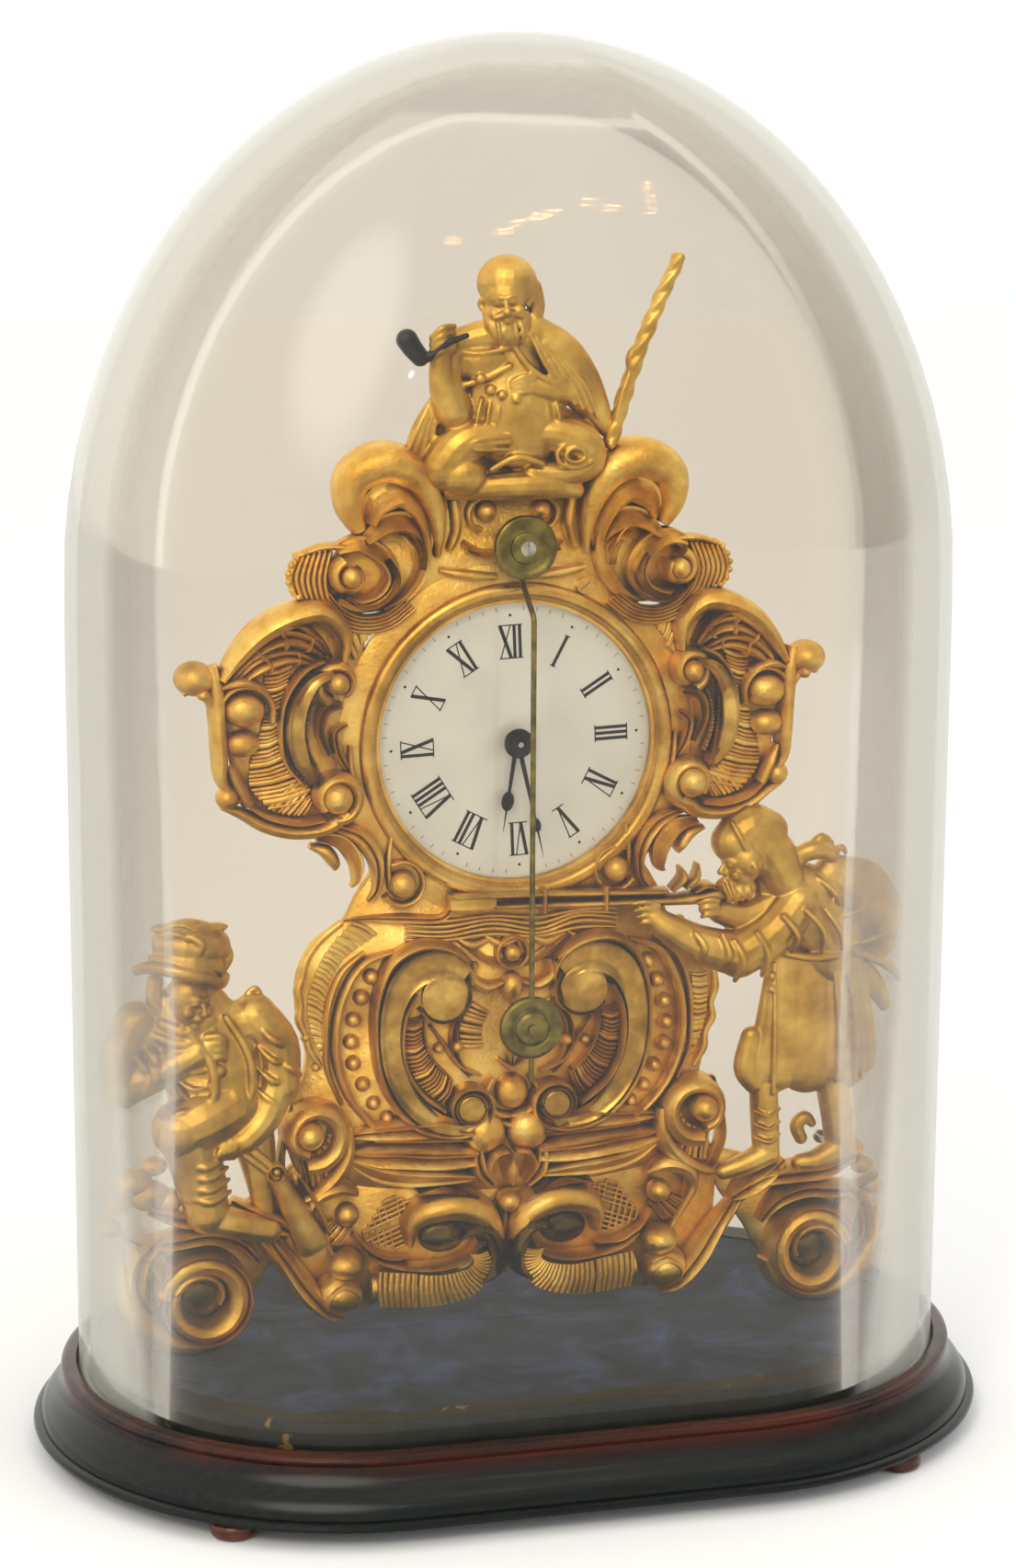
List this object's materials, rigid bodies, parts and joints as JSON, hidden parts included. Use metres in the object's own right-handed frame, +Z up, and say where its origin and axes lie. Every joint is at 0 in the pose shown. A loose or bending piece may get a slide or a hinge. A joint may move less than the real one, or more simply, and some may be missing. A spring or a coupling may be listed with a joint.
{
  "type": "bell jar dome",
  "caption": "Oval glass bell jar on a moulded black wooden base, lifting off a gilt figural clock whose pendulum swings in front of the dial.",
  "frame": {"origin": "centre of the base's outline, on the plane of the undersides of the bun feet", "axes": "+Z up, the longest extent; +X to the right as one faces the dial, along the oval's length; +Y towards the back, the shortest extent; the dial faces -Y"},
  "size_m": [0.2844, 0.1864, 0.4042],
  "materials": {
    "glass": "clear blown glass, faintly green and pink at the edges",
    "ebonised_wood": "ebonised and polished, worn red-brown at the rim",
    "walnut": "turned and waxed",
    "softwood": "planed",
    "velvet": "slate-blue pile, mottled",
    "paper_band": "dark green-black glazed paper, chipped",
    "gilt": "matte mercury gilding with burnished bands",
    "brass": "grained brass",
    "aged_brass": "turned, tarnished olive",
    "steel": "polished steel",
    "blued_steel": "blued almost black",
    "copper": "rolled copper",
    "enamel": "white vitreous enamel, black numerals"
  },
  "bodies": {
    "case": {"base_plinth": "ebonised_wood", "bun_feet": "walnut", "platform_board": "softwood", "board_screws": "steel", "velvet_cover": "velvet", "edge_band": "paper_band", "case_front": "gilt", "left_foot_scroll": "gilt", "right_foot_scroll": "gilt", "seated_man": "gilt", "long_gun": "gilt", "aiming_man": "gilt", "crown_figure": "gilt", "crown_branch": "gilt", "aimed_rifle": "gilt", "dial_bezel": "gilt", "dial": "enamel", "dial_backing": "copper", "minute_post": "steel", "front_plate": "brass", "back_plate": "brass", "plate_pillars": "brass", "pillar_nuts": "steel", "case_pillars": "brass", "case_screw": "steel", "click_screw": "steel", "click_spring": "steel", "pallet_cock": "brass", "cock_screws": "steel", "back_stays": "brass", "stay_screws": "steel", "figure_screws": "steel"},
    "dome": {"glass_dome": "glass"},
    "pendulum": {"pendulum_boss": "aged_brass", "boss_screw": "steel", "pendulum_rod": "aged_brass", "pendulum_bob": "aged_brass", "bob_screw": "aged_brass", "pallet_arbor": "steel", "anchor": "steel"},
    "minute": {"minute_hand": "blued_steel", "cannon_pinion": "steel", "hand_collet": "blued_steel"},
    "hour": {"hour_hand": "blued_steel", "hour_wheel": "brass"},
    "motion": {"minute_wheel": "brass"},
    "centre": {"centre_arbor": "steel", "centre_wheel": "brass"},
    "third": {"third_arbor": "steel", "third_wheel": "brass"},
    "escape": {"escape_arbor": "steel", "escape_wheel": "brass"},
    "drum": {"barrel": "brass", "barrel_cover": "brass", "mainspring": "blued_steel"},
    "winding": {"barrel_arbor": "steel", "ratchet_wheel": "steel"},
    "pawl": {"click": "steel"}
  },
  "joints": [
    {"name": "dome_lift", "type": "slide", "parent": "case", "child": "dome", "axis": [0, 0, 1], "range_m": [0, 0.34]},
    {"name": "pendulum_swing", "type": "hinge", "parent": "case", "child": "pendulum", "pos_m": [0, 0, 0.2617], "axis": [0, 1, 0], "range_deg": [-6, 6]},
    {"name": "minute_hand_turn", "type": "hinge", "parent": "case", "child": "minute", "pos_m": [0, 0, 0.2044], "axis": [0, 1, 0], "continuous": true},
    {"name": "hour_hand_turn", "type": "hinge", "parent": "case", "child": "hour", "pos_m": [0, 0, 0.2044], "axis": [0, 1, 0], "continuous": true},
    {"name": "minute_wheel_turn", "type": "hinge", "parent": "case", "child": "motion", "pos_m": [0.00849, 0, 0.19591], "axis": [0, 1, 0], "continuous": true},
    {"name": "escape_wheel_turn", "type": "hinge", "parent": "case", "child": "escape", "pos_m": [0, 0, 0.2437], "axis": [0, 1, 0], "continuous": true},
    {"name": "third_wheel_turn", "type": "hinge", "parent": "case", "child": "third", "pos_m": [0.00754, 0, 0.22683], "axis": [0, 1, 0], "continuous": true},
    {"name": "centre_wheel_turn", "type": "hinge", "parent": "case", "child": "centre", "pos_m": [0, 0, 0.2044], "axis": [0, 1, 0], "continuous": true},
    {"name": "barrel_turn", "type": "hinge", "parent": "case", "child": "drum", "pos_m": [0, 0, 0.17855], "axis": [0, 1, 0], "continuous": true},
    {"name": "winding_turn", "type": "hinge", "parent": "case", "child": "winding", "pos_m": [0, 0, 0.17855], "axis": [0, 1, 0], "continuous": true},
    {"name": "click_lift", "type": "hinge", "parent": "case", "child": "pawl", "pos_m": [-0.0115, 0, 0.19], "axis": [0, 1, 0], "range_deg": [0, 12], "stiffness_Nm_per_rad": 0.002, "springref_deg": -17.19}
  ],
  "couplings": [
    {"joint": "hour_hand_turn", "follows": "minute_hand_turn", "ratio": 0.083333},
    {"joint": "minute_wheel_turn", "follows": "minute_hand_turn", "ratio": -0.33333},
    {"joint": "third_wheel_turn", "follows": "escape_wheel_turn", "ratio": -0.076923},
    {"joint": "centre_wheel_turn", "follows": "escape_wheel_turn", "ratio": 0.0064103},
    {"joint": "barrel_turn", "follows": "escape_wheel_turn", "ratio": -0.00076313}
  ]
}
